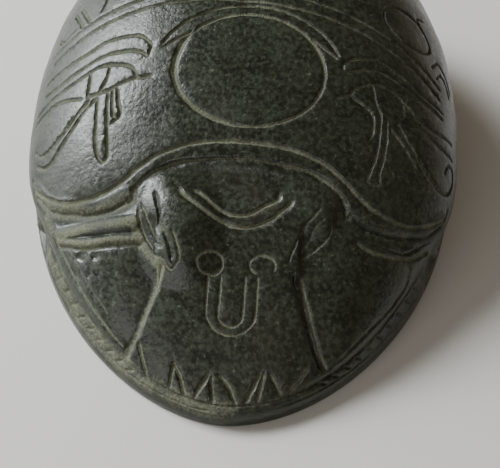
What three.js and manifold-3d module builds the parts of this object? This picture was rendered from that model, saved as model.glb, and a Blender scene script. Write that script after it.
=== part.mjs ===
// A large scarab amulet: a beetle carved from one dark green stone, lying on its flat underside.
//
// Millimetres, +Z up. The origin is the middle of the underside, the head points to -Y and the
// wing cases to +Y. The back is one smooth dome over an oval foot. The head, the breast plate and
// the wing cases are told apart by cut lines, and the legs lie in low relief along the flanks.

import * as THREE from 'three';
import { mergeVertices } from 'three/addons/utils/BufferGeometryUtils.js';
import Module from 'manifold-3d';

const wasm = await Module();
wasm.setup();

// The stone as a whole
const LENGTH = 88;
const WIDTH = 60;
const HEIGHT = 31.5;

// The flat rim round the foot
const RIM_HEIGHT = 2.3;
const RIM_LEDGE = 0.9;
const RIM_CHAMFER = 0.4;

// The flanks, between the rim and the edge of the back
const NOSE_HEIGHT = 3;
const SHOULDER_HEIGHT = 10.2;
const FLANK_RECESS = 1.3;

// Cut lines: the fine ones of the pictures, and the broad ones between the beetle's parts
const LINE_WIDTH = 0.7;
const LINE_DEPTH = 0.4;
const BROAD_WIDTH = 1.1;
const BROAD_DEPTH = 0.55;

// Raised legs on the flanks
const LEG_WIDTH = 3;
const LEG_RISE = 1.1;

// How finely the dome and the cut lines are faceted
const SIDES = 52;
const DOME_RINGS = 12;
const CUT_STEP = 7;
const FINE_STEP = 3;

// The carving is laid out in plan on a stone 60 wide and 88 long, and it stretches with the stone
const LAYOUT_WIDTH = 60;
const LAYOUT_LENGTH = 88;
const across = (x) => (x * WIDTH) / LAYOUT_WIDTH;
const along = (y) => (y * LENGTH) / LAYOUT_LENGTH;

// The hand-cut carving is a little off the middle line, and its rear part runs askew
const BREAST_MIDDLE = -0.9;
const HEAD_MIDDLE = -0.7;
const BREAST_LEAN = 0.05;

const smooth = (t) => {
  const s = Math.min(Math.max(t, 0), 1);
  return s * s * (3 - 2 * s);
};
const mix = (a, b, t) => a + (b - a) * t;

// Foot outline: half a rounded point for the head, half an oval for the tail
const WIDEST = along(1);
const HALF_WIDTH = WIDTH / 2 - RIM_LEDGE / 2;
const HEAD_REACH = LENGTH / 2 - RIM_LEDGE + WIDEST;
const TAIL_REACH = LENGTH / 2 - RIM_LEDGE - WIDEST;
const HEAD_POWER = 1.81;
const TAIL_POWER = 2.25;

function outline(angle, spread) {
  const c = Math.cos(angle);
  const s = Math.sin(angle);
  const power = 2 / (s < 0 ? HEAD_POWER : TAIL_POWER);
  const reach = (s < 0 ? HEAD_REACH : TAIL_REACH) + spread;
  const side = HALF_WIDTH + spread;
  return [
    side * Math.sign(c) * Math.abs(c) ** power,
    WIDEST + reach * Math.sign(s) * Math.abs(s) ** power,
  ];
}

// The back swells past the foot at the lower corners of the breast plate
const CORNER_SWELL = 0.031;
const CORNER_PLACE = along(-15.5);
const CORNER_LENGTH = along(7.3);
const cornerSwell = (y) =>
  1 + CORNER_SWELL * Math.exp(-(((y - CORNER_PLACE) / CORNER_LENGTH) ** 2));

function halfWidthAt(y) {
  const share = Math.min(y < WIDEST ? (WIDEST - y) / HEAD_REACH : (y - WIDEST) / TAIL_REACH, 1);
  const power = y < WIDEST ? HEAD_POWER : TAIL_POWER;
  return HALF_WIDTH * cornerSwell(y) * (1 - share ** power) ** (1 / power);
}

// Height of the back's edge: low at the head, then rising to the shoulders
const edgeHeight = (y) => mix(NOSE_HEIGHT, SHOULDER_HEIGHT, smooth((y + along(44)) / along(36)));

// Height of the ridge: a slope that steepens toward the nose, a long rounded fall to the tail
const APEX = along(11);
const NOSE_CURVE = 1.25;
const NOSE_SOFTNESS = 0.25;

function ridgeHeight(y) {
  if (y < APEX) {
    const r = (APEX - y) / (APEX - WIDEST + HEAD_REACH);
    const bend = (t) => (t * t + NOSE_SOFTNESS ** 2) ** (NOSE_CURVE / 2);
    return mix(HEIGHT, NOSE_HEIGHT, (bend(r) - bend(0)) / (bend(1) - bend(0)));
  }
  const r = Math.min((y - APEX) / (WIDEST + TAIL_REACH - APEX), 1);
  return mix(edgeHeight(y), HEIGHT, (1 - r ** 2.3) ** (1 / 1.9));
}

// Low relief of the head and the neck, in plan: each term sinks or lifts the smooth dome
function relief(x, y) {
  const u = (x / WIDTH) * LAYOUT_WIDTH;
  const v = (y / LENGTH) * LAYOUT_LENGTH;
  const side = Math.abs(u - HEAD_MIDDLE);
  const plateEdge = 8 + 0.04 * Math.min(v + 29, 0) ** 2;
  const beyond = side - plateEdge;
  const inHead = smooth((-24.5 - v) / 2);
  const cheek = beyond > 0 ? -0.9 * inHead * smooth(beyond / 0.8) * (1 - smooth(beyond / 7)) : 0;
  const neck = -0.7 * smooth((side - 11) / 2) * Math.exp(-(((v + 23.4) / 1.6) ** 2));
  const brow = -0.8 * smooth((12 - side) / 3) * smooth((-18.6 - v) / 1.4) * smooth((v + 27) / 4);
  const lobe = ((side - 9.6) / 2.4) ** 2 + ((v + 26) / 3.8) ** 2;
  const eye = lobe < 1 ? 1.1 * (1 - lobe) : 0;
  return cheek + neck + brow + eye;
}

// Height of the back: each cross-section is a flattened oval arch from edge to edge
function backHeight(x, y) {
  const t = Math.min(Math.abs(x) / Math.max(halfWidthAt(y), 1e-6), 1);
  const behindHead = smooth((y + along(24)) / along(16));
  const inner = mix(2.8, 2.3, behindHead);
  const outer = mix(1.56, 1.88, behindHead);
  const arch = (1 - t ** inner) ** (1 / outer);
  const edge = edgeHeight(y);
  return edge + (ridgeHeight(y) - edge) * arch + relief(x, y) * smooth((1 - t) / 0.15);
}

// A point of the flank: level 0 is the rim's top and level 1 the edge of the back
function flank(angle, level) {
  const [, footY] = outline(angle, 0);
  const rear = smooth((footY + along(24)) / along(8));
  const bulge = RIM_LEDGE * (1 - level ** 1.5);
  const sunk = -FLANK_RECESS * Math.sin(Math.PI * level) ** 0.5;
  const [x, y] = outline(angle, mix(bulge, sunk, rear));
  const swell = mix(1, cornerSwell(footY), level * level);
  return new THREE.Vector3(x * swell, y, mix(RIM_HEIGHT, edgeHeight(footY), level));
}

// The plain body: rings from the crown down the dome, the flank and the rim, to the underside.
// Facets are smallest at the head, where most of the carving is.
const HEAD_CROWDING = 0.35;
const EDGE_CROWDING = 1.6;

function bodyGeometry() {
  const rings = [];
  const around = (make) => {
    const ring = [];
    for (let i = 0; i < SIDES; i += 1) {
      const turn = (2 * Math.PI * i) / SIDES;
      ring.push(make(turn - HEAD_CROWDING * Math.cos(turn)));
    }
    rings.push(ring);
  };
  for (let k = 1; k < DOME_RINGS; k += 1) {
    const share = 1 - (1 - k / DOME_RINGS) ** EDGE_CROWDING;
    around((angle) => {
      const [footX, footY] = outline(angle, 0);
      const x = footX * cornerSwell(footY) * share;
      const y = mix(APEX, footY, share);
      return new THREE.Vector3(x, y, backHeight(x, y));
    });
  }
  for (const level of [1, 0.9, 0.6, 0.3, 0.1]) {
    around((angle) => flank(angle, level));
  }
  for (const [spread, z] of [
    [RIM_LEDGE, RIM_HEIGHT],
    [RIM_LEDGE, RIM_CHAMFER],
    [RIM_LEDGE - RIM_CHAMFER, 0],
  ]) {
    around((angle) => {
      const [x, y] = outline(angle, spread);
      return new THREE.Vector3(x * (WIDTH / 2 / (HALF_WIDTH + RIM_LEDGE)), y, z);
    });
  }
  const points = [new THREE.Vector3(0, APEX, HEIGHT), ...rings.flat(), new THREE.Vector3(0, 0, 0)];
  const index = [];
  const at = (ring, i) => 1 + ring * SIDES + (i % SIDES);
  for (let i = 0; i < SIDES; i += 1) {
    index.push(0, at(0, i), at(0, i + 1));
    for (let ring = 0; ring + 1 < rings.length; ring += 1) {
      index.push(at(ring, i), at(ring + 1, i), at(ring + 1, i + 1));
      index.push(at(ring, i), at(ring + 1, i + 1), at(ring, i + 1));
    }
    index.push(points.length - 1, at(rings.length - 1, i + 1), at(rings.length - 1, i));
  }
  return new THREE.BufferGeometry().setFromPoints(points).setIndex(index);
}

function toManifold(geometry) {
  geometry.deleteAttribute('normal');
  geometry.deleteAttribute('uv');
  const merged = mergeVertices(geometry);
  return new wasm.Manifold(
    new wasm.Mesh({
      numProp: 3,
      vertProperties: new Float32Array(merged.attributes.position.array),
      triVerts: new Uint32Array(merged.index.array),
    }),
  );
}

// Places on the back and on a flank, each with the outward direction there. A place on the back
// is kept inside its edge and found by a plumb line onto the facets, so that every cut is equally
// deep. The line hangs a hair off, because it would miss an edge that it meets exactly.
const NUDGE = 0.3;
const HAIR = 0.0037;
const INSIDE = 0.975;
const plainBody = new THREE.Mesh(bodyGeometry());
const plumb = new THREE.Raycaster();

function onBack([u, v]) {
  const y = along(v);
  const reach = INSIDE * halfWidthAt(y);
  const x = THREE.MathUtils.clamp(across(u), -reach, reach);
  plumb.set(new THREE.Vector3(x + HAIR, y + HAIR, 2 * HEIGHT), new THREE.Vector3(0, 0, -1));
  const slopeX = backHeight(x + NUDGE, y) - backHeight(x - NUDGE, y);
  const slopeY = backHeight(x, y + NUDGE) - backHeight(x, y - NUDGE);
  return {
    point: plumb.intersectObject(plainBody)[0].point,
    normal: new THREE.Vector3(-slopeX, -slopeY, 2 * NUDGE).normalize(),
  };
}

function onFlank([angle, level]) {
  const point = flank(angle, level);
  const ahead = flank(angle + 0.01, level).sub(point);
  const above = flank(angle, level + 0.01).sub(point);
  return { point, normal: ahead.cross(above).normalize() };
}

// A closed bar along places on the stone. The section's points are [across, out of the surface],
// and an open end is drawn in to a share of them.
function bar(places, section, endSize, closed = false) {
  const count = places.length;
  const points = [];
  for (let i = 0; i < count; i += 1) {
    const before = places[closed ? (i + count - 1) % count : Math.max(i - 1, 0)].point;
    const after = places[closed ? (i + 1) % count : Math.min(i + 1, count - 1)].point;
    const { point, normal } = places[i];
    const ahead = after.clone().sub(before).normalize();
    const sideways = ahead.cross(normal).normalize();
    const size = !closed && (i === 0 || i === count - 1) ? endSize : 1;
    for (const [side, out] of section) {
      points.push(
        point.clone().addScaledVector(sideways, side * size).addScaledVector(normal, out * size),
      );
    }
  }
  const corners = section.length;
  const index = [];
  for (let i = 0; i < (closed ? count : count - 1); i += 1) {
    const next = ((i + 1) % count) * corners;
    for (let k = 0; k < corners; k += 1) {
      const here = i * corners + k;
      const turn = (k + 1) % corners;
      index.push(here, next + k, next + turn, here, next + turn, i * corners + turn);
    }
  }
  if (!closed) {
    const last = (count - 1) * corners;
    for (let k = 1; k + 1 < corners; k += 1) {
      index.push(0, k, k + 1, last, last + k + 1, last + k);
    }
  }
  return toManifold(new THREE.BufferGeometry().setFromPoints(points).setIndex(index));
}

// A V-shaped cutter as wide as stated where it meets the surface, and open above it
function vee(width, depth) {
  const above = 0.6;
  const half = (width / 2) * (1 + above / depth);
  return [[-half, above], [0, -depth], [half, above]];
}

// A smooth line through a few plan points, stepped evenly
function smoothLine(points, step, closed = false) {
  const knots = points.map(([x, y]) => new THREE.Vector3(x, y, 0));
  const curve = new THREE.CatmullRomCurve3(knots, closed, 'centripetal');
  const steps = Math.max(2, Math.round(curve.getLength() / step));
  const line = curve.getSpacedPoints(steps).map((p) => [p.x, p.y]);
  return closed ? line.slice(0, -1) : line;
}

function arc(centre, halfWidth, halfLength, from, to, count) {
  const line = [];
  for (let i = 0; i <= count; i += 1) {
    const angle = THREE.MathUtils.degToRad(mix(from, to, i / count));
    line.push([centre[0] + halfWidth * Math.cos(angle), centre[1] + halfLength * Math.sin(angle)]);
  }
  return line;
}

const oval = (centre, halfWidth, halfLength, count) =>
  arc(centre, halfWidth, halfLength, 0, 360, count).slice(0, -1);

const cuts = [];
const fine = vee(LINE_WIDTH, LINE_DEPTH);
const broad = vee(BROAD_WIDTH, BROAD_DEPTH);
const CUT_END = 0.35;
const cutBack = (line, section, closed = false) =>
  cuts.push(bar(line.map(onBack), section, CUT_END, closed));
const cutFlank = (line, section) => cuts.push(bar(line.map(onFlank), section, CUT_END));

// Both sides of the breast plate, as distances from its middle line; the rows lean slightly
const onBreast = (side) => ([a, b]) => [BREAST_MIDDLE + side * a, b - BREAST_LEAN * side * a];
const onHead = (side) => ([a, b]) => [HEAD_MIDDLE + side * a, b];

// The sacred eye: brow, lids, iris, cheek mark, teardrop and the long curled tail
const EYE_LINES = [
  [[12.4, -6.0], [12.7, -4.9], [15.2, -3.6], [17.3, -3.3], [20, -3.7], [24, -4.4], [27, -4.9]],
  [[12.4, -6.0], [13.2, -6.4], [15, -5.3], [17, -4.8], [20, -5.1], [24, -5.9], [27, -6.2]],
  [[11.6, -9.7], [13.2, -9.2], [15.3, -7.3], [17, -6.8], [19, -7], [22.2, -8], [27, -8.1]],
  [[13.3, -9.2], [15, -9.7], [18, -10.3], [20.5, -10.4], [23, -9.7], [27.4, -9.2]],
  [[17, -7], [17.3, -10.1]],
  [[18.4, -10.6], [18.1, -14], [17.6, -17.6], [16.7, -17.9], [16.8, -15], [17.2, -10.6]],
  [[15.8, -10.2], [15.8, -13.3]],
  [[19.9, -10.7], [22, -12.5], [24.2, -13.4], [25.9, -12.9], [26.4, -11.6], [25.4, -11.3]],
  [[18.9, -11], [21, -13.1], [23, -14.8], [25, -14.9], [26.2, -13.6]],
];
for (const side of [-1, 1]) {
  for (const line of EYE_LINES) {
    cutBack(smoothLine(line, FINE_STEP).map(onBreast(side)), fine);
  }
}

// The sun disc on the breast plate, in the crescent that holds it
const DISC_CENTRE = [-0.3, -8.1];
const DISC_HALF = [9.4, 6.9];
const CRESCENT_HALF = [12.1, 8.2];
cutBack(oval(DISC_CENTRE, ...DISC_HALF, 18), broad, true);
cutBack(arc(DISC_CENTRE, ...CRESCENT_HALF, 20, 160, 9), fine);
for (const side of [-1, 1]) {
  const horn = [[11.2, -5.6], [9.2, -4.5], [7.4, -3.5]];
  cutBack(horn.map(([a, b]) => [DISC_CENTRE[0] + side * a, b]), fine);
}

// The double line between the breast plate and the wing cases
const BAND = 1.7;
for (const offset of [0, BAND]) {
  const line = [];
  for (let a = -26; a <= 26; a += 4) {
    line.push([a, 0.9 - 0.005 * a * a - BREAST_LEAN * a + offset]);
  }
  cutBack(smoothLine(line, CUT_STEP), fine);
}

// The wing cases: the seam down the middle, the hem above their edge and an oval at each corner
const TAIL_END = 40;
for (const side of [-1, 1]) {
  const seam = [[BREAST_MIDDLE + side * 0.6, 2.8], [side * 0.5, 20], [side * 0.5, TAIL_END]];
  cutBack(smoothLine(seam, CUT_STEP), fine);
  const hem = [];
  for (let degrees = 8; degrees <= 86; degrees += 8) {
    const [x, y] = outline(THREE.MathUtils.degToRad(degrees), 0);
    hem.push([(side * x * 0.955 * LAYOUT_WIDTH) / WIDTH, (y * 0.955 * LAYOUT_LENGTH) / LENGTH]);
  }
  cutBack(hem, fine);
  const corner = oval([20.4, 4.4], 3.6, 2.6, 10);
  cutBack(corner.map(onBreast(side)), fine, true);
}

// The neck: the double rim of the breast plate, which turns up along the plate's lower corners, and
// the bands that run out from behind the eye lobes
const NECK_TOP = [
  [0, -16.8], [5.5, -17.2], [9.6, -18.3], [13.2, -20.5], [17.1, -21.9], [21.3, -21.5], [24.6, -19.3],
  [26.8, -16.2],
];
const NECK_LOW = [[0, -18.7], [5, -19], [9, -19.6], [12.2, -21.3], [13.2, -23]];
const NECK_BANDS = [
  [[13.6, -22.8], [18, -23.3], [22, -21.9], [25.6, -18.4]],
  [[11.2, -26.6], [17, -25.8], [21.6, -24.4]],
];
const mirrored = (half) => [...half.slice(1).reverse().map(([a, b]) => [-a, b]), ...half];
cutBack(smoothLine(mirrored(NECK_TOP), CUT_STEP), broad);
cutBack(smoothLine(mirrored(NECK_LOW), CUT_STEP), broad);
for (const side of [-1, 1]) {
  for (const band of NECK_BANDS) {
    cutBack(smoothLine(band, CUT_STEP).map(onHead(side)), broad);
  }
}

// The head: sides of the shield, eye lobes, crescents and the looped sign on the brow
for (const side of [-1, 1]) {
  const shield = [[7.6, -29.2], [8.7, -32.4], [9.8, -35.1], [11.4, -37.6]];
  cutBack(smoothLine(shield, FINE_STEP).map(onHead(side)), broad);
  const lobe = [[12, -23.5], [11.2, -25.8], [9.2, -28.3], [7.6, -29.2], [7, -28], [8.6, -22.8]];
  cutBack(smoothLine(lobe, FINE_STEP).map(onHead(side)), broad);
  cutBack([[10.2, -23.2], [8.2, -27.6]].map(onHead(side)), fine);
}
cutBack(arc([HEAD_MIDDLE, -21.9], 7, 3.8, 185, 355, 8), fine);
cutBack(arc([HEAD_MIDDLE, -21.6], 5.1, 3.1, 180, 360, 7), fine);

const SIGN_MIDDLE = -0.4;
const SIGN_TOP = -30.5;
for (const [half, bottom] of [[2.95, 36.2], [1.45, 35.5]]) {
  const bend = arc([SIGN_MIDDLE, half * 0.8 - bottom], half, half * 0.8, 180, 360, 6);
  const line = [[SIGN_MIDDLE - half, SIGN_TOP], ...bend, [SIGN_MIDDLE + half, SIGN_TOP]];
  cutBack(line, fine);
}
for (const side of [-1, 1]) {
  cutBack(oval([SIGN_MIDDLE + side * 3.1, -29.2], 1.5, 1.05, 8), fine, true);
}

// The toothed front edge of the head
const TEETH = [-6.6, -2.2, 3.2, 8.2];
const TOOTH_HALF = 1.3;
const TOOTH_LENGTH = 2.8;
for (const middle of TEETH) {
  for (const side of [-1, 1]) {
    const foot = middle + side * TOOTH_HALF;
    const edge = -42 + 0.018 * foot * foot;
    cutBack([[middle, edge + TOOTH_LENGTH], [foot, edge]], fine);
  }
}

// Forelegs along the front of the rim: a line between two bands, and teeth on the lower band
const degrees = THREE.MathUtils.degToRad;
for (const side of [-1, 1]) {
  const turn = (angle) => degrees(270 + side * angle);
  const line = [];
  for (let angle = 14; angle <= 52; angle += 4) {
    line.push([turn(angle), 0.5]);
  }
  cutFlank(line, fine);
  for (let angle = 17; angle <= 50; angle += 5) {
    cutFlank([[turn(angle), 0.42], [turn(angle + 1.6), 0.1]], fine);
  }
}

// Middle and hind legs, raised on the sunk flanks: a thigh slants down to the knee, and the shin
// runs forward from it along the rim. Each point is [degrees round the foot, level on the flank].
const legSection = [
  [-LEG_WIDTH / 2, -0.6],
  [LEG_WIDTH / 2, -0.6],
  [LEG_WIDTH / 3, LEG_RISE],
  [-LEG_WIDTH / 3, LEG_RISE],
];
const LEG_PATHS = [
  [[-30, 0.74], [-18, 0.7], [-6, 0.55], [4, 0.36]],
  [[5, 0.3], [-8, 0.2], [-24, 0.16]],
  [[22, 0.76], [38, 0.72], [54, 0.56], [64, 0.38]],
  [[65, 0.3], [48, 0.2], [24, 0.16]],
];
const LEG_STEP = 0.22;
const LEG_END = 0.7;
const legs = [];
for (const side of [-1, 1]) {
  for (const path of LEG_PATHS) {
    const line = path.map(([angle, level]) => [degrees(side > 0 ? angle : 180 - angle), level]);
    legs.push(bar(smoothLine(line, LEG_STEP).map(onFlank), legSection, LEG_END));
  }
}

const body = toManifold(plainBody.geometry);
const withLegs = wasm.Manifold.union([body, ...legs]);
const carved = withLegs.subtract(wasm.Manifold.union(cuts));

// Where two lines meet, a splinter can come loose, and it falls away
const [whole] = carved.decompose().sort((a, b) => b.volume() - a.volume());

function toGeometry(manifold) {
  const mesh = manifold.getMesh();
  const geometry = new THREE.BufferGeometry();
  geometry.setAttribute('position', new THREE.BufferAttribute(mesh.vertProperties, 3));
  geometry.setIndex(new THREE.BufferAttribute(mesh.triVerts, 1));
  geometry.computeVertexNormals();
  return geometry;
}

const stone = new THREE.MeshStandardMaterial({ color: 0x2f3329, roughness: 0.34, metalness: 0 });
const scarab = new THREE.Mesh(toGeometry(whole), stone);
scarab.name = 'scarab';

const amulet = new THREE.Group();
amulet.add(scarab);

export default amulet;
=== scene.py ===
"""The looks of the scarab amulet: a beetle carved from one dark green stone, lying on its underside."""

import math

import bpy
import numpy as np
from mathutils import Matrix, Vector


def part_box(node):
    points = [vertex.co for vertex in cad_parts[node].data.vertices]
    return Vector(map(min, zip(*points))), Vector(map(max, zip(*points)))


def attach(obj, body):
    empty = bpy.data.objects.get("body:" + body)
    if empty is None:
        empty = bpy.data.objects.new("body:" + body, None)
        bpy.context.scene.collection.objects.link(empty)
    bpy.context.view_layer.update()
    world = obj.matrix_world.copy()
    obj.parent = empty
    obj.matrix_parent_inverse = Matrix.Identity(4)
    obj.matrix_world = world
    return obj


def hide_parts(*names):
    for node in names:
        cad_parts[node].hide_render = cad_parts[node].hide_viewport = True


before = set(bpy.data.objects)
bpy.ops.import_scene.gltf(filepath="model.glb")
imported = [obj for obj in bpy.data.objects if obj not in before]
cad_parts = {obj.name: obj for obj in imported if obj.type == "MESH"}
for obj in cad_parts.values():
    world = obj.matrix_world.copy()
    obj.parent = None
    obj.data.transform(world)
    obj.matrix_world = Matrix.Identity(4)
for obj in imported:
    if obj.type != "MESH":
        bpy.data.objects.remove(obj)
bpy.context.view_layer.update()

# The stone: a pebble-smooth block, ground to an oval foot with a thin flat rim, and rubbed to a low
# dome. Its outline, ridge and arches are those of the CAD node, at a much finer step.
# All lengths are millimetres until the mesh is made, and the head points to -Y.
MM = 0.001
lowest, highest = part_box("scarab")
WIDTH = (highest.x - lowest.x) / MM
LENGTH = (highest.y - lowest.y) / MM
HEIGHT = (highest.z - lowest.z) / MM
LAYOUT_WIDTH = 60
LAYOUT_LENGTH = 88

RIM_HEIGHT = 2.3
RIM_LEDGE = 0.9
NOSE_HEIGHT = 3
SHOULDER_HEIGHT = 10.2
FLANK_RECESS = 1.3


def across(u):
    """A distance across the stone, from the layout's width to this stone's."""
    return np.asarray(u) * WIDTH / LAYOUT_WIDTH


def along(v):
    """A distance along the stone, from the layout's length to this stone's."""
    return np.asarray(v) * LENGTH / LAYOUT_LENGTH


def smooth(t):
    """An ease from 0 to 1: three t squared less two t cubed, held outside."""
    t = np.clip(t, 0, 1)
    return t * t * (3 - 2 * t)


def mix(a, b, t):
    """The point a share t of the way from a to b."""
    return a + (b - a) * t


HALF_WIDTH = WIDTH / 2 - RIM_LEDGE / 2
WIDEST = along(1)
HEAD_REACH = LENGTH / 2 - RIM_LEDGE + WIDEST
TAIL_REACH = LENGTH / 2 - RIM_LEDGE - WIDEST
HEAD_POWER = 1.81
TAIL_POWER = 2.25


def outline(angle, spread):
    """Plan of the foot: a superellipse of power 1.81 for the head half and 2.25 for the tail half,
    grown by spread."""
    c, s = np.cos(angle), np.sin(angle)
    power = 2 / np.where(s < 0, HEAD_POWER, TAIL_POWER)
    reach = np.where(s < 0, HEAD_REACH, TAIL_REACH) + spread
    x = (HALF_WIDTH + spread) * np.sign(c) * np.abs(c) ** power
    return x, WIDEST + reach * np.sign(s) * np.abs(s) ** power


CORNER_SWELL = 0.031
CORNER_PLACE = along(-15.5)
CORNER_LENGTH = along(7.3)


def corner_swell(y):
    """How far the back swells past the foot near the lower corners of the breast plate: a bell
    curve along the stone."""
    return 1 + CORNER_SWELL * np.exp(-(((y - CORNER_PLACE) / CORNER_LENGTH) ** 2))


def half_width(y):
    """Half the width of the back at y, from the same superellipse."""
    share = np.clip(np.where(y < WIDEST, (WIDEST - y) / HEAD_REACH, (y - WIDEST) / TAIL_REACH), 0, 1)
    power = np.where(y < WIDEST, HEAD_POWER, TAIL_POWER)
    return HALF_WIDTH * corner_swell(y) * (1 - share**power) ** (1 / power)


def edge_height(y):
    """Height of the back's edge: low at the head, then rising to the shoulders."""
    return mix(NOSE_HEIGHT, SHOULDER_HEIGHT, smooth((y + along(44)) / along(36)))


APEX = along(11)
NOSE_CURVE = 1.25
NOSE_SOFTNESS = 0.25


def ridge_height(y):
    """Height of the ridge: a slope that steepens toward the nose, a long rounded fall to the tail."""
    ahead = np.clip((APEX - y) / (APEX - WIDEST + HEAD_REACH), 0, 1)
    least = NOSE_SOFTNESS**NOSE_CURVE
    most = (1 + NOSE_SOFTNESS**2) ** (NOSE_CURVE / 2)
    fall = ((ahead**2 + NOSE_SOFTNESS**2) ** (NOSE_CURVE / 2) - least) / (most - least)
    behind = np.clip((y - APEX) / (WIDEST + TAIL_REACH - APEX), 0, 1)
    rear = mix(edge_height(y), HEIGHT, (1 - behind**2.3) ** (1 / 1.9))
    return np.where(y < APEX, mix(HEIGHT, NOSE_HEIGHT, fall), rear)


HEAD_MIDDLE = -0.7


def relief(x, y):
    """Low relief of the head and neck: the sunk cheeks, the groove of the neck and the hollow under
    the collar, as heights over the smooth dome. Each term eases in and out. The hollow's sides are
    gentler than in the solid."""
    u = x / WIDTH * LAYOUT_WIDTH
    v = y / LENGTH * LAYOUT_LENGTH
    side = np.abs(u - HEAD_MIDDLE)
    beyond = side - (8 + 0.04 * np.minimum(v + 29, 0) ** 2)
    cheek = -0.9 * smooth((-24.5 - v) / 2) * smooth(beyond / 0.8) * (1 - smooth(beyond / 7))
    neck = -0.7 * smooth((side - 11) / 2) * np.exp(-(((v + 23.4) / 1.6) ** 2))
    brow = -0.8 * smooth((11 - side) / 6.5) * smooth((-18.6 - v) / 1.4) * smooth((v + 25.4) / 4)
    return cheek + neck + brow


def back_height(x, y):
    """Height of the back: across the stone it is a flattened oval arch from edge to edge."""
    t = np.clip(np.abs(x) / np.maximum(half_width(y), 1e-6), 0, 1)
    behind_head = smooth((y + along(24)) / along(16))
    inner = mix(2.8, 2.3, behind_head)
    outer = mix(1.56, 1.88, behind_head)
    arch = (1 - t**inner) ** (1 / outer)
    edge = edge_height(y)
    return edge + (ridge_height(y) - edge) * arch + relief(x, y) * smooth((1 - t) / 0.15)


def flank(angle, level):
    """A point of the flank: level 0 is the rim's top and level 1 the back's edge. It bulges by the
    head and is sunk behind the shoulders."""
    foot_y = outline(angle, 0)[1]
    rear = smooth((foot_y + along(24)) / along(8))
    bulge = RIM_LEDGE * (1 - level**1.5)
    sunk = -FLANK_RECESS * np.sin(np.pi * level) ** 0.5
    x, y = outline(angle, mix(bulge, sunk, rear))
    x = x * mix(1, corner_swell(foot_y), level**2)
    return np.stack([x, y, mix(RIM_HEIGHT, edge_height(foot_y), level)], -1)


# The plain surface is one grid: turns round the stone by rings from the crown to the underside.
# The turns are crowded toward the head, where the fine carving is, and the rings toward the edge.
TURNS, DOME_RINGS, FLANK_RINGS = ((1300, 440, 34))
HEAD_CROWDING = 0.5
EDGE_CROWDING = 1.6
even = np.arange(TURNS) * 2 * np.pi / TURNS
angle = (even - HEAD_CROWDING * np.cos(even))[None, :]

share = 1 - (1 - np.arange(1, DOME_RINGS)[:, None] / DOME_RINGS) ** EDGE_CROWDING
foot_x, foot_y = outline(angle, 0)
dome_x = foot_x * corner_swell(foot_y) * share
dome_y = mix(APEX, foot_y, share)
dome = np.stack([dome_x, dome_y, back_height(dome_x, dome_y)], -1)

level = np.linspace(1, 0.02, FLANK_RINGS)[:, None]
sides = flank(np.broadcast_to(angle, (FLANK_RINGS, TURNS)), level)

RIM_PROFILE = [
    (0.75, 2.3), (0.9, 2.15), (0.9, 1.75), (0.9, 1.3), (0.9, 0.85), (0.9, 0.4),
    (0.78, 0.14), (0.5, 0), (-3, 0), (-10, 0), (-19, 0),
]
rim = []
for spread, z in RIM_PROFILE:
    x, y = outline(angle[0], spread)
    rim.append(np.stack([x * WIDTH / 2 / (HALF_WIDTH + RIM_LEDGE), y, np.full(TURNS, float(z))], -1))
grid = np.concatenate([dome, sides, np.array(rim)])
RINGS = len(grid)

ring_step = np.gradient(grid, axis=0)
turn_step = np.roll(grid, -1, axis=1) - np.roll(grid, 1, axis=1)
normals = np.cross(ring_step, turn_step)
normals /= np.maximum(np.linalg.norm(normals, axis=-1, keepdims=True), 1e-12)
plain = grid.reshape(-1, 3)
outward = normals.reshape(-1, 3)
is_under = plain[:, 2] < 0.01


def unevenness(places, size, seed):
    """Smooth unevenness from about -1 to 1: the sum of sixteen plane waves in scattered directions,
    each about size millimetres long."""
    draw = np.random.default_rng(seed)
    total = np.zeros(len(places))
    for _ in range(16):
        heading = draw.normal(size=3)
        heading *= draw.uniform(0.7, 1.4) * 2 * np.pi / size / np.linalg.norm(heading)
        total += np.cos(places @ heading + draw.uniform(0, 2 * np.pi))
    return total / 6


# What the carver took away at each place, what was left standing, and where dust has settled, thinned on the
# stone's right as painted shade
cut_depth = np.zeros(len(plain))
raised = np.zeros(len(plain))
dust_and_shade = np.zeros(len(plain))
hand_width = 1 + 0.16 * unevenness(plain, 2.2, 1)
hand_depth = 1 + 0.2 * unevenness(plain, 3.1, 2)
hand_wander = 0.05 * unevenness(plain, 1.3, 3)


def flowing(points, closed=False, step=0.35):
    """A smooth line through a few points: each span is the cubic that leaves both its ends in the
    direction from the point before to the point after."""
    knots = np.array(points, float)
    if closed:
        knots = np.concatenate([knots[-1:], knots, knots[:2]])
    else:
        knots = np.concatenate([2 * knots[:1] - knots[1:2], knots, 2 * knots[-1:] - knots[-2:-1]])
    time = np.concatenate([[0], np.cumsum(np.linalg.norm(np.diff(knots, axis=0), axis=1))])
    slope = (knots[2:] - knots[:-2]) / (time[2:] - time[:-2])[:, None]
    line = []
    for k in range(len(knots) - 3):
        start, end, span = knots[k + 1], knots[k + 2], time[k + 2] - time[k + 1]
        t = np.arange(0, 1, min(step / span, 0.5))[:, None]
        line.append(
            start * (1 + 2 * t) * (1 - t) ** 2 + end * t**2 * (3 - 2 * t)
            + span * (slope[k] * t * (1 - t) ** 2 - slope[k + 1] * t**2 * (1 - t))
        )
    line.append(knots[-2:-1])
    return np.concatenate(line)


INSIDE = 0.985


def on_back(plan):
    """Plan points set down on the back, kept just inside its edge."""
    plan = np.array(plan, float)
    y = along(plan[:, 1])
    reach = INSIDE * half_width(y)
    x = np.clip(across(plan[:, 0]), -reach, reach)
    return np.stack([x, y, back_height(x, y)], -1)


def on_flank(points):
    """Points given as degrees round the foot and level on the flank, set down on it."""
    points = np.array(points, float)
    return flank(np.radians(points[:, 0]), points[:, 1])


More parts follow.
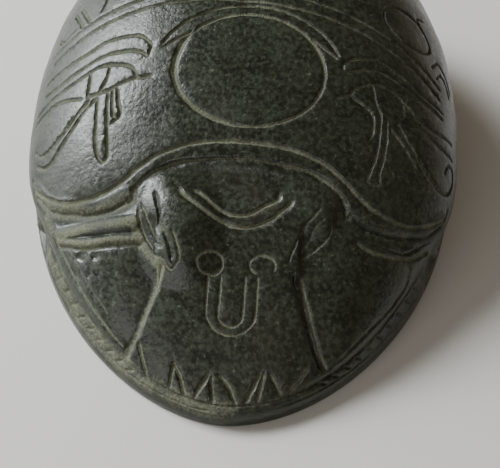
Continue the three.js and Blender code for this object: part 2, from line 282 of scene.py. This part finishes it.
def nearest(places, reach):
    """For the grid points within reach of a line: which they are, how far off they lie, on which
    side, and how far they are from the line's nearer end."""
    close = np.flatnonzero(
        np.all((plain > places.min(0) - reach) & (plain < places.max(0) + reach), axis=1) & ~is_under
    )
    here = plain[close]
    distance = np.full(len(close), np.inf)
    side = np.zeros(len(close))
    gone = np.zeros(len(close))
    lengths = np.linalg.norm(np.diff(places, axis=0), axis=1)
    done = np.concatenate([[0], np.cumsum(lengths)])
    for k, (start, end) in enumerate(zip(places, places[1:])):
        low = np.minimum(start, end) - reach
        high = np.maximum(start, end) + reach
        box = np.flatnonzero(np.all((here > low) & (here < high), axis=1))
        ahead = end - start
        offset = here[box] - start
        t = np.clip(offset @ ahead / max(ahead @ ahead, 1e-12), 0, 1)
        offset -= t[:, None] * ahead
        far = np.linalg.norm(offset, axis=1)
        better = far < distance[box]
        pick = box[better]
        distance[pick] = far[better]
        to_right = np.cross(ahead, outward[close[pick]])
        side[pick] = np.sign(np.sum(offset[better] * to_right, axis=1))
        gone[pick] = done[k] + t[better] * lengths[k]
    within = distance < reach
    to_end = np.minimum(gone, done[-1] - gone)
    return close[within], distance[within], side[within], to_end[within]


def cut(places, width, deep, left=1.0, right=1.0, dusty=1.0, closed=False, taper=0.8):
    """Cuts a groove along a line. Its depth falls from the middle to each side as one less the share
    of the half width, to the power 1.2, or more on a side that left or right widens to a bevel.
    Dust packs its bottom; it is thinned toward the stone's right, which is painted shade on the side away
    from the light."""
    if closed:
        places = np.concatenate([places, places[:1]])
    reach = width / 2 * max(left, right) * 1.35 + 0.25
    spot, off, side, to_end = nearest(places, reach)
    widening = np.where(side > 0, right, left)
    half = width / 2 * widening * hand_width[spot]
    off = np.abs(off + hand_wander[spot] * side)
    edge = np.clip(1 - np.sqrt(off**2 + 0.05**2) / half, 0, 1)
    ends = 1.0 if closed else smooth(to_end / taper + 0.3)
    depth = deep * hand_depth[spot] * edge ** (1.2 * widening**0.6) * ends
    cut_depth[spot] = np.maximum(cut_depth[spot], depth)
    narrow = np.clip(1 - off / (width / 2 * hand_width[spot] + 0.04), 0, 1)
    # Pale dust, thinned toward the stone's right: real dust, with painted shade on the side away from the
    # light
    dust_with_painted_shade = dusty * mix(1, 0.72, smooth(plain[spot, 0] / 20)) * smooth(narrow * 2 - 0.35) * ends
    dust_and_shade[spot] = np.maximum(dust_and_shade[spot], dust_with_painted_shade)


def swell(places, width, rise, sharpness=1.0):
    """Leaves a rounded ridge standing along a line: its height is one less the squared share of the
    half width, to the power of its sharpness."""
    spot, off, _, _ = nearest(places, width / 2)
    height = rise * (1 - (off / (width / 2)) ** 2) ** sharpness
    raised[spot] = np.maximum(raised[spot], height)


def settle(places, width, amount):
    """Lets dust lie over a broad strip along a line, thinning to its sides as an ease."""
    spot, off, _, _ = nearest(places, width / 2)
    dust_and_shade[spot] = np.maximum(dust_and_shade[spot], amount * smooth((1 - off / (width / 2)) * 1.6))


def oval(centre, half_across, half_along, start=0, end=360, count=40):
    """Points of an oval, or of the part of it between two angles in degrees."""
    turn = np.radians(np.linspace(start, end, count + 1))
    if end - start == 360:
        turn = turn[:-1]
    return np.stack([centre[0] + half_across * np.cos(turn), centre[1] + half_along * np.sin(turn)], -1)


# The breast plate: the sun disc in its crescent, scratched with a hard point and gone over until the
# ring is broad at its lower left and upper right
FINE_WIDTH = 0.56
FINE_DEPTH = 0.44
BREAST_LEAN = 0.05
DISC_CENTRE = (0, -8.1)
DISC_HALF = (9.5, 7)
cut(on_back(oval(DISC_CENTRE, *DISC_HALF, count=90)), width=0.62, deep=0.34, closed=True)
cut(on_back(oval(DISC_CENTRE, 9.4, 6.9, 150, 262)), width=1.05, deep=0.42, taper=3)
cut(on_back(oval(DISC_CENTRE, 9.5, 7, -12, 58)), width=0.85, deep=0.36, taper=3)
cut(on_back(oval(DISC_CENTRE, 12, 8.3, 20, 160)), FINE_WIDTH, FINE_DEPTH)
for side in (-1, 1):
    horn = [[11.2, -5.6], [9.2, -4.5], [7.4, -3.5]]
    cut(on_back([[DISC_CENTRE[0] + side * a, b] for a, b in horn]), FINE_WIDTH, FINE_DEPTH)

# The sacred eyes beside the disc: brow, lids, iris, cheek mark, teardrop and the long curled tail.
# They were cut freehand, so the two differ. Each line runs from the disc's side outward or down.
LEFT_EYE = [
    [[-12.9, -6.5], [-12.6, -5.1], [-13.3, -4.1], [-14.6, -3.3], [-18.6, -3], [-21.6, -3.7], [-27, -3.8]],
    [[-12.9, -6.5], [-14, -5.6], [-16.3, -5.1], [-18.6, -5], [-21.5, -5.6], [-24.7, -6.1], [-27, -5.8]],
    [[-12, -9], [-13.8, -9], [-14.8, -7.6], [-16.9, -6.7], [-19.1, -6.4], [-22.4, -7.2], [-27.6, -7.8]],
    [[-13.8, -9], [-15.6, -9.3], [-17.7, -10], [-20.6, -10]],
    [[-17.7, -6.9], [-18, -8.5], [-18.7, -9.8]],
    [[-20.3, -7], [-20.2, -9], [-20.3, -9.9]],
    [[-18.9, -10.5], [-18.7, -13.6], [-18.5, -15.8], [-17.9, -17.8], [-17.2, -18.5], [-16.7, -17.9],
     [-17.1, -15.2], [-17.4, -12.7], [-17.5, -10.3]],
    [[-17, -10], [-16.8, -11.8], [-16.6, -13.2], [-16.1, -13.6]],
    [[-16.4, -9.8], [-16, -11.8], [-15.7, -13.4], [-16.7, -14.2]],
    [[-19.9, -10.4], [-21.6, -12.2], [-23.3, -13.8], [-25, -14.7], [-26.3, -14.3], [-26.9, -13.2]],
    [[-18.9, -10.5], [-20.4, -11.8], [-21.6, -13.4], [-24.1, -16.2], [-25.4, -16.2], [-26.4, -15.2]],
    [[-20.8, -10.1], [-22.9, -9.3], [-24.7, -8.8], [-27.6, -9]],
]
RIGHT_EYE = [
    [[12, -6.8], [11.8, -6], [13.4, -4.8], [15, -4.2], [17, -4], [19.7, -4.6], [22.5, -5.3], [25.8, -5.2]],
    [[12, -6.8], [13, -6.6], [14.8, -5.8], [16.8, -5.4], [19.7, -5.8], [22.8, -6.2], [25.8, -6.2]],
    [[11, -10.4], [12.7, -9.7], [13.4, -8.7], [15.8, -7.4], [17.8, -7.2], [19.6, -7.7], [22, -8.9],
     [24.1, -9.2], [27.4, -8]],
    [[12.7, -9.7], [14.3, -10.3], [15.7, -11.1], [15.9, -13.1], [15.4, -14.4]],
    [[15.7, -7.5], [16.2, -9.5], [16.9, -11], [16.7, -14], [16.3, -16.4], [15.3, -19]],
    [[17.7, -11.3], [17.7, -13.6], [17.4, -16], [16.9, -17.8], [17, -18.9]],
    [[15.2, -19], [16, -19.2], [17, -18.9]],
    [[19.6, -7.8], [20, -8.8], [19.7, -10.1], [18.6, -11.6]],
    [[19.1, -11], [20.8, -12.8], [23, -14.7], [25, -15.7], [26.6, -14.9], [27.4, -12.9], [27.3, -11.5],
     [26.6, -11.7], [26, -13.2]],
    [[18.1, -12], [19.7, -13.3], [21, -14.5], [22.2, -15.8]],
    [[20.1, -11], [22.9, -10.4], [25.3, -10.5], [27.4, -10.2]],
]
for line in LEFT_EYE + RIGHT_EYE:
    cut(on_back(flowing(line)), FINE_WIDTH, FINE_DEPTH)

# The wing cases: a double line parts them from the breast plate, a double seam from each other, and
# each has a hem above its edge and a small ornament at its front corner.
BREAST_MIDDLE = -0.9
BAND = 1.7
HEM_SHARE = 0.955
for offset in (0, BAND):
    a = np.arange(-26.5, 27, 2)
    row = np.stack([a, 0.9 - 0.005 * a**2 - BREAST_LEAN * a + offset], -1)
    cut(on_back(flowing(row)), FINE_WIDTH, FINE_DEPTH)
for side in (-1, 1):
    seam = [[BREAST_MIDDLE + side * 0.6, 2.8], [side * 0.5, 20], [side * 0.5, 40]]
    cut(on_back(flowing(seam)), FINE_WIDTH, FINE_DEPTH)
    hem_x, hem_y = outline(np.radians(np.arange(8, 92, 3)), 0)
    hem_x = side * hem_x * HEM_SHARE / WIDTH * LAYOUT_WIDTH
    hem_y = hem_y * HEM_SHARE / LENGTH * LAYOUT_LENGTH
    cut(on_back(np.stack([hem_x, hem_y], -1)), FINE_WIDTH, FINE_DEPTH)
cut(on_back(oval((20.7, 3.9), 3.5, 2.9)), FINE_WIDTH, FINE_DEPTH, closed=True)
CORNER_MARKS = [
    [[23.4, 8.8], [22.4, 7.7], [22.6, 6.6]],
    [[24.3, 0.7], [25.5, 2.7], [26.6, 2.3], [27.5, 0.2]],
    [[25, -0.5], [25.8, 1], [26.6, 0.6], [27.2, -1]],
    [[-24.3, 5.8], [-22.6, 1.6]],
    [[-23.4, 6], [-21.7, 1.8]],
    [[-25, 5.2], [-26, 3.2], [-25.5, 1.9], [-23.6, 2.3]],
    [[-24.4, 7.4], [-22.6, 8.6], [-20.6, 7.4], [-19.6, 4.6], [-20.2, 2.6]],
]
for line in CORNER_MARKS:
    cut(on_back(flowing(line)), FINE_WIDTH, FINE_DEPTH)

# The collar: a double rim stands over the hollow of the neck, sweeps out past the eye lobes and
# turns up along the breast plate's lower corners. Below it rounded bands run out to the flanks.
NECK_TOP = [
    [0, -16.8], [3, -16.9], [5.7, -17.2], [8.3, -17.8], [10.6, -18.6], [12.8, -19.9], [14.9, -21.2],
    [17.1, -21.8], [19.2, -21.9], [21.4, -21.5], [23.4, -20.4], [25, -19], [26.4, -17.4], [27.3, -15.8],
]
NECK_LOW = [[0, -18.7], [4.9, -19], [8, -19.3], [10.5, -20.2], [12.2, -21.2], [13, -22], [13.2, -23.2]]
NECK_FOLD = [
    [13.6, -22.8], [16, -23.4], [18.2, -23.3], [20.6, -22.6], [22.4, -21.9], [23.8, -21], [26.2, -18],
]


def both_sides(half):
    """A line given from the middle outward, joined to its mirror image."""
    return [[-a, b] for a, b in half[:0:-1]] + half


cut(on_back(flowing(both_sides(NECK_TOP))), width=0.8, deep=0.42)
cut(on_back(flowing(both_sides(NECK_LOW))), width=0.75, deep=0.55, right=2.6, dusty=0.75)
for side in (-1, 1):
    fold = flowing([[side * a, b] for a, b in NECK_FOLD])
    swell(on_back(fold + [0, 0.75]), width=1.9, rise=0.18)
    downhill = {"left": 2.2} if side < 0 else {"right": 2.2}
    cut(on_back(fold), width=0.5, deep=0.4, dusty=0.35, **downhill)
    settle(on_back(fold + [0, 0.2]), width=3.4, amount=0.55 if side < 0 else 0.3)
    cut(on_back([[side * 12.9, -22.9], [side * 13.9, -22.8]]), width=1.3, deep=0.5, dusty=0)

# Below the fold two rounded bands on the left are packed with pale dust, with a cut between them. On
# the right two shallow cuts run out to the flank.
LEFT_BANDS = [
    [[-24, -21.6], [-22.6, -23.6], [-21.2, -24.2], [-17.7, -24.9], [-12.6, -25.2]],
    [[-22, -24.6], [-18.6, -26.3], [-15.5, -26.8], [-11.4, -26.9]],
]
for band, width, dusty in zip(LEFT_BANDS, (2.1, 1.3), (0.66, 0.8)):
    swell(on_back(flowing(band)), width, 0.32)
    settle(on_back(flowing(band)), width, dusty)
cut(
    on_back(flowing([[-21, -24.9], [-17.6, -25.8], [-15.4, -26.1], [-12, -26.1]])),
    width=0.4, deep=0.45, left=0.8, dusty=0,
)
cut(
    on_back(flowing([[-22.3, -24.9], [-18.6, -26.8], [-15.5, -27.3], [-11.2, -27.4]])),
    width=0.9, deep=0.3, dusty=0.6,
)
cut(
    on_back(flowing([[14.3, -25.5], [16.4, -25.9], [19.1, -25.4], [21.8, -24.1], [24.4, -21.8]])),
    width=0.9, deep=0.35,
)
cut(
    on_back(flowing([[13.6, -24.6], [17, -24.9], [21, -23.9], [24.6, -20.8]])),
    width=0.6, deep=0.25, dusty=0.3,
)

# The head: a flat shield that widens to the toothed front edge, with a bevel down each side, and a
# smooth pillow of stone beyond. Between shield and neck lie two eye lobes with deep stripes.


def on_head(points, side):
    """Points given from the head's middle line, for the right side, 1, or the left, -1."""
    points = np.array(points, float)
    return on_back(np.stack([HEAD_MIDDLE + side * points[:, 0], points[:, 1]], -1))


SHIELD_EDGE = [[7.8, -29.9], [8.4, -31.6], [9.2, -33.6], [10.2, -35.8], [11.6, -38]]
left_edge = on_head(flowing(SHIELD_EDGE), -1)
cut(left_edge, width=0.95, deep=0.6, dusty=0.8, left=1.6, right=3.2)
settle(left_edge, width=1.7, amount=0.8)
right_edge = on_head(flowing(SHIELD_EDGE), 1)
cut(right_edge, width=1, deep=0.6, dusty=0.15, left=3, right=1.6)
cut(on_head(flowing(SHIELD_EDGE) + [0.9, 0.1], 1), width=0.5, deep=0.3)

LOBE_CREST = [[-7, -24.2], [-6.8, -26.2], [-6.7, -28.2]]
swell(on_back(flowing(LOBE_CREST)), width=10.4, rise=1.25, sharpness=1.3)
LEFT_LOBE = [
    [[-12.2, -23.8], [-11.9, -25], [-10.9, -26.7], [-9.6, -28.1], [-8.4, -29.7], [-7.4, -30.4],
     [-6.6, -29.5], [-6.8, -28.2], [-7.6, -26.6]],
    [[-11.8, -23.6], [-10.8, -25.2], [-9.7, -26.7], [-8.6, -28.3]],
]
RIGHT_LOBE = [
    [[10, -22.9], [8.2, -25], [6.8, -27.7], [6.4, -29]],
    [[11.2, -23.3], [9.4, -24.9], [7.6, -27.9]],
    [[11.4, -23.8], [11.1, -25.4], [9.9, -26.6], [8.1, -28], [7.2, -29.4]],
]
for line in LEFT_LOBE:
    cut(on_back(flowing(line)), width=0.5, deep=0.3, dusty=0.8)
for line in RIGHT_LOBE:
    cut(on_back(flowing(line)), width=0.45, deep=0.16, dusty=0.5)
cut(
    on_back(flowing([[-10.2, -22.5], [-9.4, -24.6], [-8.6, -26.6], [-7.7, -28.2], [-7.4, -29.6]])),
    width=0.85, deep=0.4, dusty=0.3,
)
settle(on_back(flowing([[-12.4, -26], [-10.6, -28.2], [-8.8, -29.8]])), width=1.5, amount=0.75)

# Crescents and a looped sign are scratched on the brow
BROW_MARKS = [
    [[-7.6, -21.9], [-6.6, -22.9], [-4.9, -24], [-3.2, -24.9], [-1.3, -25.6], [0.4, -25.9], [2.1, -25.6],
     [3.6, -25], [5.6, -23.3], [6.4, -22.4]],
    [[-5.9, -21.9], [-4.6, -22.5], [-3.3, -23.5], [-1.2, -24.5], [0.3, -24.6], [1.4, -24.3], [2.9, -23.3],
     [4.5, -22.4], [4.8, -21.6]],
]
for line in BROW_MARKS:
    cut(on_back(flowing(line)), width=0.75, deep=0.4, right=1.5)
SIGN_MIDDLE = -0.1
for half, bottom in ((2.95, 36.5), (1.45, 35.7)):
    bend = oval((SIGN_MIDDLE, half * 0.8 - bottom), half, half * 0.8, 180, 360, 16)
    loop = [[SIGN_MIDDLE - half, -30.7], *bend.tolist(), [SIGN_MIDDLE + half, -30.7]]
    cut(on_back(flowing(loop)), width=0.45, deep=0.26)
cut(on_back(oval((-2.95, -29.65), 1.55, 1.15)), width=0.45, deep=0.26, closed=True)
cut(on_back(oval((3.25, -29.5), 1.55, 0.95, -30, 250)), width=0.45, deep=0.26)

# The toothed front edge: pairs of strokes that run down to the rim
TEETH = [
    [[-10.8, -36.9], [-9.5, -39.8]],
    [[-7.2, -41.4], [-6.3, -39.3], [-5.4, -40.6], [-4.9, -42.2]],
    [[-3.8, -42.5], [-2, -40.1]],
    [[-1.8, -40.4], [-1.5, -43]],
    [[-1, -40.2], [0.3, -41.2], [1.5, -43]],
    [[2.3, -42.7], [4, -39.6]],
    [[4.3, -39.6], [4.1, -42.5]],
    [[5, -39.7], [7.4, -41.4]],
    [[7.9, -41], [9.5, -38.4]],
]
for tooth in TEETH:
    cut(on_back(tooth), width=0.75, deep=0.45)


# The forelegs: bands that follow the head's outline, inside the edge of the back and below it, with
# slanting teeth on the lower one


def inside_edge(start, end, inset):
    """Plan points that follow the foot's outline on the back, inset millimetres inside it, between
    two angles in degrees."""
    x, y = outline(np.radians(np.linspace(start, end, 30)), -inset)
    x = x * corner_swell(y)
    return np.stack([x / WIDTH * LAYOUT_WIDTH, y / LENGTH * LAYOUT_LENGTH], -1)


cut(on_back(inside_edge(217, 242, 0.6)), width=0.55, deep=0.36)
cut(on_back(inside_edge(219, 236, 1.5)), width=0.4, deep=0.15, dusty=0.4)
RIGHT_CURVE = [
    [20.2, -23.8], [21.3, -24.6], [21.7, -25.7], [21.2, -27], [20, -28.9], [17.6, -31.9], [15, -34.8],
    [13, -36.8],
]
cut(on_back(flowing(RIGHT_CURVE)), width=0.55, deep=0.34, dusty=0.8)
for side in (-1, 1):
    crest = [[270 + side * turn, 0.98] for turn in range(0, 62, 2)]
    cut(on_flank(crest), width=0.5, deep=0.25, dusty=0.6)
    arm = [[270 + side * turn, 0.34] for turn in range(4, 66, 2)]
    cut(on_flank(arm), width=0.4, deep=0.2, dusty=0.5)
    # A pale film on the front flank: partly dust, partly painted light where it lies thick on the lit left,
    # and painted shade where it is thinned on the right
    dust_film_and_shade = [[270 + side * turn, 0.55] for turn in range(0, 66, 2)]
    settle(on_flank(dust_film_and_shade), width=4.4, amount=0.6 if side < 0 else 0.16)
    for turn in range(24, 72, 3):
        stroke = [[270 + side * turn, 0.9], [270 + side * (turn + 2), 0.42]]
        cut(on_flank(stroke), width=0.6, deep=0.34, dusty=1 if side < 0 else 0.4)

# The middle and hind legs, left standing on the sunk flanks: a thigh slants down to the knee, and
# the shin runs forward from it along the rim.
LEG_PATHS = [
    [[-30, 0.74], [-18, 0.7], [-6, 0.55], [4, 0.36]],
    [[5, 0.3], [-8, 0.2], [-24, 0.16]],
    [[22, 0.76], [38, 0.72], [54, 0.56], [64, 0.38]],
    [[65, 0.3], [48, 0.2], [24, 0.16]],
]
for side in (-1, 1):
    for path in LEG_PATHS:
        leg = [[turn if side > 0 else 180 - turn, height] for turn, height in path]
        swell(on_flank(flowing(leg, step=0.1)), width=3, rise=1.1)

# Old knocks: the left pillow is scarred, its surface pitted where it was struck
scar_middle = on_back([[-18.4, -28.2]])[0]
from_scar = np.linalg.norm((plain - scar_middle) / [2.2, 2.6, 2.4], axis=1)
scar = 0.2 * smooth(1.5 - from_scar) * smooth(unevenness(plain, 2, 6) * 1.5)
cut_depth = np.maximum(cut_depth, np.where(from_scar < 1.6, scar, 0))

# The finished surface: the plain stone less the cuts, plus what stands, and the slight unevenness of
# hand polishing. Its grid is closed by a fan at the crown and one at the underside's middle.
polish_waves = 0.05 * unevenness(plain, 11, 4) + 0.025 * unevenness(plain, 4.5, 5)
low_down = smooth((plain[:, 2] - RIM_HEIGHT) / 3)
lift = np.where(is_under, 0, raised + (polish_waves - 0.06) * low_down - cut_depth)
surface = plain + outward * lift[:, None]

points = np.concatenate([surface, [[0, APEX, HEIGHT - 0.06]], [[0, 0, 0]]]) * MM
dust_and_shade = np.concatenate([dust_and_shade, [0, 0]])
here = np.arange((RINGS - 1) * TURNS).reshape(RINGS - 1, TURNS)
right = np.roll(here, -1, axis=1)
quads = np.stack([here, here + TURNS, right + TURNS, right], -1).reshape(-1, 4)
first = np.arange(TURNS)
last = first + (RINGS - 1) * TURNS
crown = np.stack([np.full(TURNS, RINGS * TURNS), first, np.roll(first, -1)], -1)
middle = np.stack([np.full(TURNS, RINGS * TURNS + 1), np.roll(last, -1), last], -1)
faces = np.concatenate([quads[:, [0, 1, 2]], quads[:, [0, 2, 3]], crown, middle])

mesh = bpy.data.meshes.new("carved_scarab")
mesh.from_pydata(points, [], faces)
mesh.attributes.new("dust_and_shade", "FLOAT", "POINT").data.foreach_set("value", dust_and_shade.astype(np.float32))
mesh.update()
scarab = bpy.data.objects.new("carved_scarab", mesh)
bpy.context.scene.collection.objects.link(scarab)

MOST_TRIANGLES = 197000
if len(faces) > MOST_TRIANGLES:
    thin = scarab.modifiers.new("fewer faces where it is smooth", "DECIMATE")
    thin.ratio = MOST_TRIANGLES / len(faces)
    thinned = bpy.data.meshes.new_from_object(scarab.evaluated_get(bpy.context.evaluated_depsgraph_get()))
    scarab.modifiers.clear()
    scarab.data = thinned
scarab.data.shade_smooth()


# The stone's finish: a very dark olive green, crowded with paler greenish grains, well polished, with fine
# scratches, and pale earth packed in the cuts, kept thinner on the stone's right as painted shade.
class Socket:
    """A shader value: the operators add Math nodes."""

    tree = None

    def __init__(self, link):
        self.link = link

    @classmethod
    def node(cls, kind, inputs=(), output=0, **settings):
        """Adds a node: its settings first, then the values or links of its sockets."""
        made = cls.tree.nodes.new(kind)
        for name, value in settings.items():
            setattr(made, name, value)
        for name, value in dict(inputs).items():
            if isinstance(value, cls):
                cls.tree.links.new(value.link, made.inputs[name])
            else:
                made.inputs[name].default_value = value
        return cls(made.outputs[output]) if len(made.outputs) else None

    def maths(self, operation, other, swap=False):
        pair = (other, self) if swap else (self, other)
        return Socket.node("ShaderNodeMath", {0: pair[0], 1: pair[1]}, operation=operation)

    def __add__(self, other):
        return self.maths("ADD", other)

    def __sub__(self, other):
        return self.maths("SUBTRACT", other)

    def __mul__(self, other):
        return self.maths("MULTIPLY", other)

    def __rsub__(self, other):
        return self.maths("SUBTRACT", other, swap=True)

    __radd__ = __add__
    __rmul__ = __mul__


def between(value, low, high):
    """A share from 0 to 1 as value goes from low to high, eased."""
    return Socket.node(
        "ShaderNodeMapRange",
        {"Value": value, "From Min": low, "From Max": high},
        interpolation_type="SMOOTHSTEP",
    )


def blend_colours(first, second, share):
    """A colour the given share of the way from the first to the second."""
    return Socket.node("ShaderNodeMix", {0: share, 6: first, 7: second}, output=2, data_type="RGBA")


def noise(size_mm, detail=3.0, roughness=0.5, place=None):
    """Cloudy noise whose patches are about size_mm across."""
    return Socket.node(
        "ShaderNodeTexNoise",
        {"Vector": place or position, "Scale": 1 / (size_mm * MM), "Detail": detail, "Roughness": roughness},
    )


stone = bpy.data.materials.new("polished_dark_green_stone")
stone.use_nodes = True
stone.node_tree.nodes.clear()
Socket.tree = stone.node_tree
position = Socket.node("ShaderNodeTexCoord", output=3)
dust_and_shade_read = Socket.node("ShaderNodeAttribute", output=2, attribute_name="dust_and_shade")

clouds = noise(10, 3)
mottle = noise(2.4, 3, 0.6)
grains = noise(0.6, 3, 0.65)
specks = noise(0.5, 2, 0.55)
crumbs = noise(0.3, 2, 0.6)
stroke = Socket.node("ShaderNodeMapping", {"Vector": position, "Scale": (1.0, 0.12, 0.25)})
scratches = noise(0.25, 2, 0.5, stroke)

body = blend_colours((0.007, 0.0088, 0.0052, 1), (0.019, 0.023, 0.0135, 1), between(mottle, 0.3, 0.7))
body = blend_colours(body, (0.024, 0.021, 0.011, 1), between(clouds, 0.52, 0.7) * 0.5)
grain_share = between(grains + (mottle - 0.5) * 0.12, 0.38, 0.7)
body = blend_colours(body, (0.04, 0.049, 0.029, 1), grain_share * 0.7)
speck_share = between(specks, 0.6, 0.78) * between(grains, 0.35, 0.6)
body = blend_colours(body, (0.13, 0.15, 0.1, 1), speck_share * 0.65)

# Pale earth from the dust attribute, which is partly dust and partly painted shade where it thins on the
# right
dust_and_shade_share = between(dust_and_shade_read + (crumbs - 0.5) * 0.5 + (mottle - 0.5) * 0.8, 0.26, 0.86)
earth = blend_colours((0.12, 0.127, 0.077, 1), (0.18, 0.186, 0.125, 1), between(crumbs, 0.35, 0.65))
colour = blend_colours(body, earth, dust_and_shade_share * 0.8)
dulled = between(dust_and_shade_read, 0.04, 0.3)
roughness = 0.27 + between(grains, 0.4, 0.6) * 0.1 + between(clouds, 0.4, 0.6) * 0.06 + dulled * 0.25
roughness = roughness + dust_and_shade_share * 0.25
height = grains * 0.9 + mottle * 0.7 + scratches * 0.1 + dust_and_shade_share * crumbs * 0.9 - speck_share * 0.2
bump = Socket.node("ShaderNodeBump", {"Strength": 0.5, "Distance": 0.00014, "Height": height})
shader = Socket.node(
    "ShaderNodeBsdfPrincipled",
    {"Base Color": colour, "Roughness": roughness, "Normal": bump, "IOR": 1.55},
)
Socket.node("ShaderNodeOutputMaterial", {"Surface": shader})
scarab.data.materials.clear()
scarab.data.materials.append(stone)

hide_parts("scarab")
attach(scarab, "root")

# The studio: a plain pale floor, a window's light from the left in a bright upper and a broad dim
# lower part, two weak soft lights from the front and from the right, and a dim warm surround
FLOOR_HALF = 4
floor_mesh = bpy.data.meshes.new("floor")
corners = [(-1, -1), (1, -1), (1, 1), (-1, 1)]
floor_mesh.from_pydata([(x * FLOOR_HALF, y * FLOOR_HALF, 0) for x, y in corners], [], [(0, 1, 2, 3)])
floor = bpy.data.objects.new("floor", floor_mesh)
bpy.context.scene.collection.objects.link(floor)
paper = bpy.data.materials.new("pale_paper")
paper.use_nodes = True
paper.node_tree.nodes["Principled BSDF"].inputs["Base Color"].default_value = (0.74, 0.72, 0.69, 1)
paper.node_tree.nodes["Principled BSDF"].inputs["Roughness"].default_value = 0.9
floor_mesh.materials.append(paper)


def soft_light(name, azimuth, elevation, distance, width, height, watts, colour=(1, 1, 1)):
    """A rectangular light that faces the stone, azimuth degrees to the right of the view."""
    a, e = math.radians(azimuth), math.radians(elevation)
    away = Vector((math.sin(a) * math.cos(e), math.cos(a) * math.cos(e), math.sin(e)))
    lamp = bpy.data.lights.new(name, "AREA")
    lamp.shape = "RECTANGLE"
    lamp.size = width
    lamp.size_y = height
    lamp.energy = watts
    lamp.color = colour
    holder = bpy.data.objects.new(name, lamp)
    holder.location = away * distance
    holder.rotation_mode = "QUATERNION"
    holder.rotation_quaternion = away.to_track_quat("Z", "Y")
    bpy.context.scene.collection.objects.link(holder)


soft_light("window_top", -74, 42, 0.6, 0.26, 0.27, 5.4, (0.94, 0.98, 1.0))
soft_light("window_foot", -72, 17, 1.0, 1.15, 0.5, 6.5, (0.94, 0.98, 1.0))
soft_light("front", -155, 26, 1.0, 0.8, 0.4, 2.4)
soft_light("pale_wall", 62, 6, 1.2, 1.0, 0.22, 0.4, (1.0, 0.9, 0.76))
world = bpy.data.worlds.new("dim_room")
world.use_nodes = True
world.node_tree.nodes["Background"].inputs["Color"].default_value = (1.0, 0.86, 0.66, 1)
world.node_tree.nodes["Background"].inputs["Strength"].default_value = 0.15
bpy.context.scene.world = world

# The camera looks down at 45 degrees from in front of the head, turned by 4 degrees
CAMERA_PLACE = (1.55 * MM, -110.7 * MM, 99 * MM)
LOOK_DOWN = 45
TURNED = 4
lens = bpy.data.cameras.new("camera")
lens.lens = 72
lens.sensor_width = 36
lens.clip_start = 0.01
camera = bpy.data.objects.new("camera", lens)
tilt = Matrix.Rotation(math.radians(90 - LOOK_DOWN), 4, "X") @ Matrix.Rotation(math.radians(TURNED), 4, "Z")
camera.matrix_world = Matrix.Translation(CAMERA_PLACE) @ tilt
bpy.context.scene.collection.objects.link(camera)
bpy.context.scene.camera = camera
